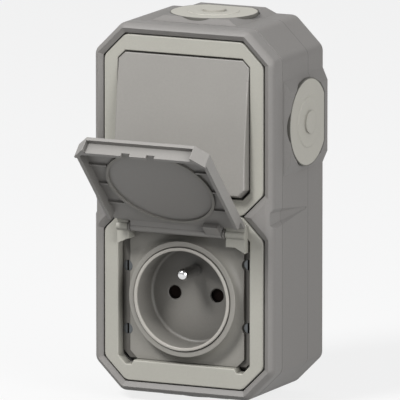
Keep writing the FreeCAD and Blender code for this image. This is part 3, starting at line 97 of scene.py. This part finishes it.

# How far in metres and how strongly painted shade darkens crevices: on most pieces, in the cup and in the
# lid
CREVICE_SHADOW = (0.007, 0.55)
CUP_SHADOW = (0.017, 0.8)
LID_SHADOW = (0.014, 0.75)
SHADOW_COLOR = (0.005, 0.0045, 0.004)
SHADOW_SAMPLES = 8
EDGE_SAMPLES = 6

# Moulded plastic: size of its clouds, specks in it, and what wear and a painted highlight do to its edges
CLOUD_SCALE = 38.0
SPECK_SPREAD = 2.2
SPECK_ROUGHNESS = 0.6
SPECK_SHARE = 0.08
SPECK_CONTRAST = 0.35
SPECK_SHADE = 0.7
WEAR_AND_HIGHLIGHT_GAIN = 6.0
WORN_HIGHLIGHT_SHADE = 1.25
WORN_POLISH = 0.15
CLOUD_SHEEN = 0.08
GRAIN_DEPTH = 0.25

# Metal: the stretch and size of its drawn marks, its clouds, and how high the marks stand in metres
DRAWN_STRETCH = (1.0, 0.06, 1.0)
DRAWN_SCALE = 4200.0
METAL_CLOUD_SCALE = 220.0
METAL_DARK = 0.88
METAL_LIGHT = 1.1
DRAWN_BUMP = 0.12
DRAWN_HEIGHT = 0.00002

# Shutter's springs: wire radius in metres, turns, steps in a turn and sides of the wire
SPRING_WIRE = 0.00016
SPRING_TURNS = 11
SPRING_STEPS = 14
WIRE_SIDES = 8

# Floor: size and gap below the object in metres, shade for bounced light and as seen, share of white
FLOOR_SIZE = 6.0
FLOOR_GAP = 0.0004
FLOOR_BOUNCE = (0.22, 0.22, 0.22)
FLOOR_SEEN = (0.92, 0.92, 0.92)
FLOOR_WHITE = 0.8

# World: soft light on the object, and the share of the white background that gloss shows
WORLD_COLOR = (0.92, 0.95, 1.0, 1.0)
WORLD_STRENGTH = 0.15
GLOSSY_SHARE = 0.5

# Lamps: name, place in metres, size in metres and power in watts, and the point that all face
LAMPS = (("key", (-0.5, -1.12, 1.25), 0.5, 22.5),
         ("fill", (1.4, -0.7, 0.3), 1.2, 14.8),
         ("top", (0.2, 0.1, 1.5), 0.9, 2.5))
LAMP_AIM = Vector((0.0, -0.03, 0.0))


# Colours and node helpers
def linear(code):
    """A hex colour as linear red, green and blue."""
    values = []
    for start in (1, 3, 5):
        part = int(code[start:start + 2], 16) / 255.0
        values.append(part / 12.92 if part <= 0.04045 else ((part + 0.055) / 1.055) ** 2.4)
    return values


def scaled(color, factor):
    return [min(1.0, part * factor) for part in color]


def link(tree, source, target):
    tree.links.new(source, target)


def math_node(tree, operation, first, second=None, clamp=False):
    """One arithmetic step; arguments are sockets or numbers."""
    node = tree.nodes.new("ShaderNodeMath")
    node.operation = operation
    node.use_clamp = clamp
    for index, value in enumerate((first, second)):
        if value is None:
            continue
        if isinstance(value, (int, float)):
            node.inputs[index].default_value = value
        else:
            link(tree, value, node.inputs[index])
    return node.outputs[0]


def blended(tree, amount, first, second):
    """Mixes two colours, which are sockets or red, green and blue, by the value of a socket."""
    node = tree.nodes.new("ShaderNodeMix")
    node.data_type = "RGBA"
    link(tree, amount, node.inputs[0])
    for index, value in ((6, first), (7, second)):
        if isinstance(value, (list, tuple)):
            node.inputs[index].default_value = (*value[:3], 1.0)
        else:
            link(tree, value, node.inputs[index])
    return node.outputs[2]


def noise(tree, place, scale, detail=2.0, roughness=0.5):
    node = tree.nodes.new("ShaderNodeTexNoise")
    node.inputs["Scale"].default_value = scale
    node.inputs["Detail"].default_value = detail
    node.inputs["Roughness"].default_value = roughness
    link(tree, place, node.inputs["Vector"])
    return node.outputs["Fac"]


def object_place(tree):
    """A point's place in the object's own frame, which is the CAD model's at rest."""
    return tree.nodes.new("ShaderNodeTexCoord").outputs["Object"]


def split(tree, place):
    parts = tree.nodes.new("ShaderNodeSeparateXYZ")
    link(tree, place, parts.inputs[0])
    return parts.outputs


def rounded_normal(tree, radius):
    """Surface direction with sharp edges rounded off."""
    rounded = tree.nodes.new("ShaderNodeBevel")
    rounded.samples = EDGE_SAMPLES
    rounded.inputs["Radius"].default_value = radius
    return rounded.outputs[0]


def edge_mask(tree, normal):
    """How near a point lies to a sharp edge, from the difference of the rounded and the true normal."""
    true = tree.nodes.new("ShaderNodeNewGeometry")
    dot = tree.nodes.new("ShaderNodeVectorMath")
    dot.operation = "DOT_PRODUCT"
    link(tree, normal, dot.inputs[0])
    link(tree, true.outputs["Normal"], dot.inputs[1])
    return math_node(tree, "SUBTRACT", 1.0, dot.outputs["Value"], True)


def add_bump(tree, shader, height, normal, strength, distance):
    bump = tree.nodes.new("ShaderNodeBump")
    bump.inputs["Strength"].default_value = strength
    bump.inputs["Distance"].default_value = distance
    link(tree, height, bump.inputs["Height"])
    link(tree, normal, bump.inputs["Normal"])
    link(tree, bump.outputs[0], shader.inputs["Normal"])


def painted_crevice_shade(tree, base, reach, strength):
    """Painted shade: darkens a colour where the surface lies deep between others."""
    open_sky = tree.nodes.new("ShaderNodeAmbientOcclusion")
    open_sky.samples = SHADOW_SAMPLES
    open_sky.inputs["Distance"].default_value = reach
    hidden = math_node(tree, "SUBTRACT", 1.0, open_sky.outputs["AO"], True)
    return blended(tree, math_node(tree, "MULTIPLY", hidden, strength), base, SHADOW_COLOR)


# Marks of single pieces: each takes the colour so far and the plain colour, and gives the new one
def box_line(tree, place, base, color):
    """A fine dark line round the box, at one depth."""
    off = math_node(tree, "ABSOLUTE", math_node(tree, "ADD", split(tree, place)[DEPTH], LINE_DEPTH))
    line = math_node(tree, "LESS_THAN", off, LINE_HALF_WIDTH)
    return blended(tree, math_node(tree, "MULTIPLY", line, LINE_STRENGTH), base, scaled(color, LINE_SHADE))


def cup_ring_and_holes(tree, place, base, color):
    """The cup's paler ring, and painted shade that darkens the inside of its pin holes."""
    depth = split(tree, place)[DEPTH]
    proud = math_node(tree, "LESS_THAN", depth, -RING_SHOULDER)
    base = blended(tree, proud, base, linear("#c2beb6"))
    shutter_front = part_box("shutter")[0][DEPTH]
    # Painted shade: the pin holes' walls in front of the shutter turn near black
    hole_shade = math_node(tree, "GREATER_THAN", depth, shutter_front - HOLE_LENGTH)
    return blended(tree, hole_shade, base, linear("#120b07"))


def rim_gap_shadow(tree, place, base, color, axis, node):
    """A painted gap shadow: a dark line round a disc that faces along an axis and is cut off flat towards
    the wall.
    """
    low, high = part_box(node)
    flat = [index for index in (ACROSS, DEPTH, UP) if index != axis]
    other = [index for index in flat if index != DEPTH][0]
    radius = (high[other] - low[other]) / 2
    middle = [(high[index] + low[index]) / 2 for index in (ACROSS, DEPTH, UP)]
    middle[DEPTH] = low[DEPTH] + radius
    parts = split(tree, place)
    squares = []
    for index in flat:
        off = math_node(tree, "SUBTRACT", parts[index], middle[index])
        squares.append(math_node(tree, "MULTIPLY", off, off))
    reach = math_node(tree, "SQRT", math_node(tree, "ADD", squares[0], squares[1]))
    outside = math_node(tree, "GREATER_THAN", reach, radius - RIM_WIDTH)
    flat_edge = math_node(tree, "GREATER_THAN", parts[DEPTH], high[DEPTH] - RIM_WIDTH)
    # Painted shade in the gap round the membrane's edge
    gap_shadow = math_node(tree, "MAXIMUM", outside, flat_edge)
    return blended(tree, math_node(tree, "MULTIPLY", gap_shadow, RIM_STRENGTH), base, scaled(color, RIM_SHADE))


def side_rim_shadow(tree, place, base, color):
    return rim_gap_shadow(tree, place, base, color, ACROSS, "right_entry_seal")


def end_rim_shadow(tree, place, base, color):
    return rim_gap_shadow(tree, place, base, color, UP, "top_entry_seal")


def painted_slot_shade(tree, place, base, color):
    """Painted shade on the floors of the screws' slots."""
    # Painted shade: the slot floors turn near black
    slot_shade = math_node(tree, "GREATER_THAN", split(tree, place)[DEPTH], -SLOT_DEPTH)
    return blended(tree, slot_shade, base, linear("#242322"))


# Materials
def base_material(name):
    material = bpy.data.materials.new(name)
    material.use_nodes = True
    tree = material.node_tree
    tree.nodes.clear()
    shader = tree.nodes.new("ShaderNodeBsdfPrincipled")
    output = tree.nodes.new("ShaderNodeOutputMaterial")
    link(tree, shader.outputs[0], output.inputs[0])
    return material, tree, shader


def plastic(name, code, rough=0.5, grain=0.35, grain_size=0.00035, variation=0.05, wear_and_highlight=0.10, edge=0.0003,
            specular=0.5, marks=None, shadow=CREVICE_SHADOW):
    """Moulded plastic: spark-eroded grain, slight cloudiness, edges a little lighter from wear and a
    painted highlight and smoother, and painted shade in crevices.
    """
    material, tree, shader = base_material(name)
    place = object_place(tree)
    color = linear(code)
    cloud = noise(tree, place, CLOUD_SCALE, 3.0)
    speck = noise(tree, place, 1.0 / (grain_size * SPECK_SPREAD), 2.0, SPECK_ROUGHNESS)
    base = blended(tree, cloud, scaled(color, 1 - variation), scaled(color, 1 + variation))
    darker = math_node(tree, "MULTIPLY", math_node(tree, "SUBTRACT", speck, 0.5), SPECK_CONTRAST)
    specks = math_node(tree, "ADD", SPECK_SHARE, darker, True)
    base = blended(tree, specks, base, scaled(color, SPECK_SHADE))
    normal = rounded_normal(tree, edge)
    # Edges lighter in the base colour: partly wear, partly a painted highlight
    worn_and_highlit = math_node(tree, "MULTIPLY", edge_mask(tree, normal), wear_and_highlight * WEAR_AND_HIGHLIGHT_GAIN, True)
    base = blended(tree, worn_and_highlit, base, scaled(color, WORN_HIGHLIGHT_SHADE))
    if marks is not None:
        base = marks(tree, place, base, color)
    # Painted shade darkens the base colour in crevices and recesses
    link(tree, painted_crevice_shade(tree, base, *shadow), shader.inputs["Base Color"])
    sheen = math_node(tree, "MULTIPLY", cloud, CLOUD_SHEEN)
    sheen = math_node(tree, "ADD", rough - CLOUD_SHEEN / 2, sheen)
    polish = math_node(tree, "MULTIPLY", worn_and_highlit, WORN_POLISH)
    link(tree, math_node(tree, "SUBTRACT", sheen, polish), shader.inputs["Roughness"])
    shader.inputs["Specular IOR Level"].default_value = specular
    add_bump(tree, shader, speck, normal, grain, grain_size * GRAIN_DEPTH)
    return material


def metal(name, code, rough=0.35, brushed=0.15, edge=0.0002, marks=None):
    """Plated or brushed metal with fine drawn marks."""
    material, tree, shader = base_material(name)
    place = object_place(tree)
    color = linear(code)
    stretch = tree.nodes.new("ShaderNodeMapping")
    stretch.inputs["Scale"].default_value = DRAWN_STRETCH
    link(tree, place, stretch.inputs["Vector"])
    drawn = noise(tree, stretch.outputs[0], DRAWN_SCALE, 3.0)
    cloud = noise(tree, place, METAL_CLOUD_SCALE, 2.0)
    base = blended(tree, cloud, scaled(color, METAL_DARK), scaled(color, METAL_LIGHT))
    if marks is not None:
        base = marks(tree, place, base, color)
    link(tree, base, shader.inputs["Base Color"])
    shader.inputs["Metallic"].default_value = 1.0
    spread = math_node(tree, "MULTIPLY", drawn, brushed)
    link(tree, math_node(tree, "ADD", rough - brushed / 2, spread), shader.inputs["Roughness"])
    add_bump(tree, shader, drawn, rounded_normal(tree, edge), DRAWN_BUMP, DRAWN_HEIGHT)
    return material


def entry_membrane(name, marks):
    return plastic(name, "#cbc8be", rough=0.62, grain=0.25, grain_size=0.0003, marks=marks)


# Finishes by the record's material slots, and those of pieces that differ from their slot
FINISHES = {
    "housing_grey": plastic("housing_grey", "#8e8b88", rough=0.55, grain=0.5, marks=box_line),
    "surround_pale": plastic("surround_pale", "#c0beb4", grain=0.3),
    "entry_pale": entry_membrane("entry_side", side_rim_shadow),
    "rocker_grey": plastic("rocker_grey", "#a5a29d", rough=0.42, grain=0.3),
    "lid_grey": plastic("lid_grey", "#a4a19d", rough=0.45, grain=0.3, wear_and_highlight=0.2, shadow=LID_SHADOW),
    "seal_grey": plastic("seal_grey", "#a3a09a", rough=0.6, grain=0.2),
    "socket_grey": plastic("socket_grey", "#a19e97", rough=0.45, grain=0.3),
    "hinge_grey": plastic("hinge_grey", "#8f8c87", rough=0.45),
    "frame_dark": plastic("frame_dark", "#74716c"),
    "shutter_dark": plastic("shutter_dark", "#140a06", rough=0.7, specular=0.1),
    "insulator": plastic("insulator", "#cfcdc6"),
    "gasket_black": plastic("gasket_black", "#2a2a2a", rough=0.7),
    "brass": metal("brass", "#c9a25a"),
    "steel": metal("steel", "#b4b4b4"),
    "screw_dark": metal("screw_dark", "#6b6e70", rough=0.36, marks=painted_slot_shade),
    "chrome": metal("chrome", "#dedede", rough=0.12, brushed=0.08),
}
END_ENTRY = entry_membrane("entry_end", end_rim_shadow)
OWN_FINISHES = {
    "front_cover": plastic("cover_grey", "#94918e", rough=0.55, grain=0.5),
    # The cup's plastic is the socket plate's, made a little darker as painted shade
    "socket_well": plastic("cup_grey_shaded", "#98958f", rough=0.45, grain=0.3, wear_and_highlight=0.0,
                           marks=cup_ring_and_holes, shadow=CUP_SHADOW),
    "top_entry_seal": END_ENTRY,
    "bottom_entry_seal": END_ENTRY,
}
for part in frame["record"]["subparts"]:
    target = frame["nodes"][part["node"]]
    target.data.materials.clear()
    target.data.materials.append(OWN_FINISHES.get(part["node"], FINISHES[part["material_slot"]]))


# Springs of the shutter
def wire_ring(middle, out):
    """Corners of the wire's section at one step of a spring."""
    ring = []
    for corner in range(WIRE_SIDES):
        turn = 2 * math.pi * corner / WIRE_SIDES
        up = Vector((0.0, 0.0, math.sin(turn)))
        ring.append(middle + (out * math.cos(turn) + up) * SPRING_WIRE)
    return ring


def wire_faces(first, steps):
    """Sides and both ends of a wire whose corners start at a number."""
    faces = []
    for step in range(steps):
        near = first + step * WIRE_SIDES
        far = near + WIRE_SIDES
        for corner in range(WIRE_SIDES):
            after = (corner + 1) % WIRE_SIDES
            faces.append((near + corner, far + corner, far + after, near + after))
    last = first + steps * WIRE_SIDES
    faces.append(list(range(first, first + WIRE_SIDES)))
    faces.append(list(reversed(range(last, last + WIRE_SIDES))))
    return faces


def add_springs():
    """The shutter's two springs as wound wire."""
    low, high = [Vector(corner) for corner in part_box("shutter_springs")]
    coil = (high.y - low.y) / 2 - SPRING_WIRE
    bottom = low.z + SPRING_WIRE
    rise = high.z - SPRING_WIRE - bottom
    steps = SPRING_TURNS * SPRING_STEPS
    vertices = []
    faces = []
    for across in (low.x + coil + SPRING_WIRE, high.x - coil - SPRING_WIRE):
        faces.extend(wire_faces(len(vertices), steps))
        for step in range(steps + 1):
            share = step / steps
            angle = 2 * math.pi * SPRING_TURNS * share
            out = Vector((math.cos(angle), math.sin(angle), 0.0))
            middle = Vector((across, (low.y + high.y) / 2, bottom + rise * share)) + out * coil
            vertices.extend(wire_ring(middle, out))
    mesh = bpy.data.meshes.new("wound_springs")
    mesh.from_pydata(vertices, [], faces)
    mesh.shade_smooth()
    mesh.materials.append(FINISHES["steel"])
    springs = bpy.data.objects.new("wound_springs", mesh)
    bpy.context.collection.objects.link(springs)
    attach(springs, "base")
    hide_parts("shutter_springs")
    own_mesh(springs)


# Floor, light and camera
def seen_rays(tree, glossy_share):
    """One for rays that show the background: straight, through glass, and by gloss as far as its share."""
    path = tree.nodes.new("ShaderNodeLightPath")
    seen = math_node(tree, "MAXIMUM", path.outputs["Is Camera Ray"], path.outputs["Is Transmission Ray"])
    glossy = math_node(tree, "MULTIPLY", path.outputs["Is Glossy Ray"], glossy_share)
    return math_node(tree, "MAXIMUM", seen, glossy)


def mixed_shaders(tree, amount, first, second, output):
    mix = tree.nodes.new("ShaderNodeMixShader")
    link(tree, amount, mix.inputs[0])
    link(tree, first.outputs[0], mix.inputs[1])
    link(tree, second.outputs[0], mix.inputs[2])
    link(tree, mix.outputs[0], output.inputs[0])


def add_floor():
    """A white floor that keeps the object's shadow and throws little light back on it."""
    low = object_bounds()[0][UP]
    bpy.ops.mesh.primitive_plane_add(size=FLOOR_SIZE, location=(0.0, 0.0, low - FLOOR_GAP))
    floor = bpy.context.object
    floor.name = "floor"
    material, tree, shader = base_material("floor_white")
    shader.inputs["Roughness"].default_value = 0.8
    shader.inputs["Specular IOR Level"].default_value = 0.1
    glow = tree.nodes.new("ShaderNodeEmission")
    glow.inputs["Strength"].default_value = 1.0
    seen = seen_rays(tree, 1.0)
    link(tree, blended(tree, seen, FLOOR_BOUNCE, FLOOR_SEEN), shader.inputs["Base Color"])
    output = [node for node in tree.nodes if node.type == "OUTPUT_MATERIAL"][0]
    mixed_shaders(tree, math_node(tree, "MULTIPLY", seen, FLOOR_WHITE), shader, glow, output)
    floor.data.materials.append(material)


def add_lamp(name, place, size, power):
    lamp = bpy.data.lights.new(name, "AREA")
    lamp.shape = "DISK"
    lamp.size = size
    lamp.energy = power
    item = bpy.data.objects.new(name, lamp)
    bpy.context.collection.objects.link(item)
    item.location = place
    item.rotation_euler = (Vector(place) - LAMP_AIM).to_track_quat("Z", "Y").to_euler()


def background(tree, color, strength):
    node = tree.nodes.new("ShaderNodeBackground")
    node.inputs[0].default_value = color
    node.inputs[1].default_value = strength
    return node


def set_world():
    """Soft light all round, before a background that is seen as white."""
    world = bpy.data.worlds.new("studio")
    bpy.context.scene.world = world
    world.use_nodes = True
    tree = world.node_tree
    tree.nodes.clear()
    output = tree.nodes.new("ShaderNodeOutputWorld")
    soft = background(tree, WORLD_COLOR, WORLD_STRENGTH)
    white = background(tree, (1.0, 1.0, 1.0, 1.0), 1.0)
    mixed_shaders(tree, seen_rays(tree, GLOSSY_SHARE), soft, white, output)


def add_camera():
    """The photograph's camera, far off and with a long lens."""
    level = math.cos(ELEVATION)
    back = Vector((math.sin(AZIMUTH) * level, -math.cos(AZIMUTH) * level, math.sin(ELEVATION)))
    data = bpy.data.cameras.new("view")
    data.sensor_fit = "HORIZONTAL"
    data.sensor_width = SENSOR_WIDTH
    data.lens = SENSOR_WIDTH * PIXELS_PER_METRE * DISTANCE / PICTURE_WIDTH
    data.clip_end = CAMERA_REACH
    item = bpy.data.objects.new("view", data)
    bpy.context.collection.objects.link(item)
    item.location = MIDDLE + back * DISTANCE
    item.rotation_euler = back.to_track_quat("Z", "Y").to_euler()
    bpy.context.scene.camera = item


add_springs()
add_floor()
for lamp_settings in LAMPS:
    add_lamp(*lamp_settings)
set_world()
add_camera()
bpy.context.scene.view_settings.view_transform = "Standard"
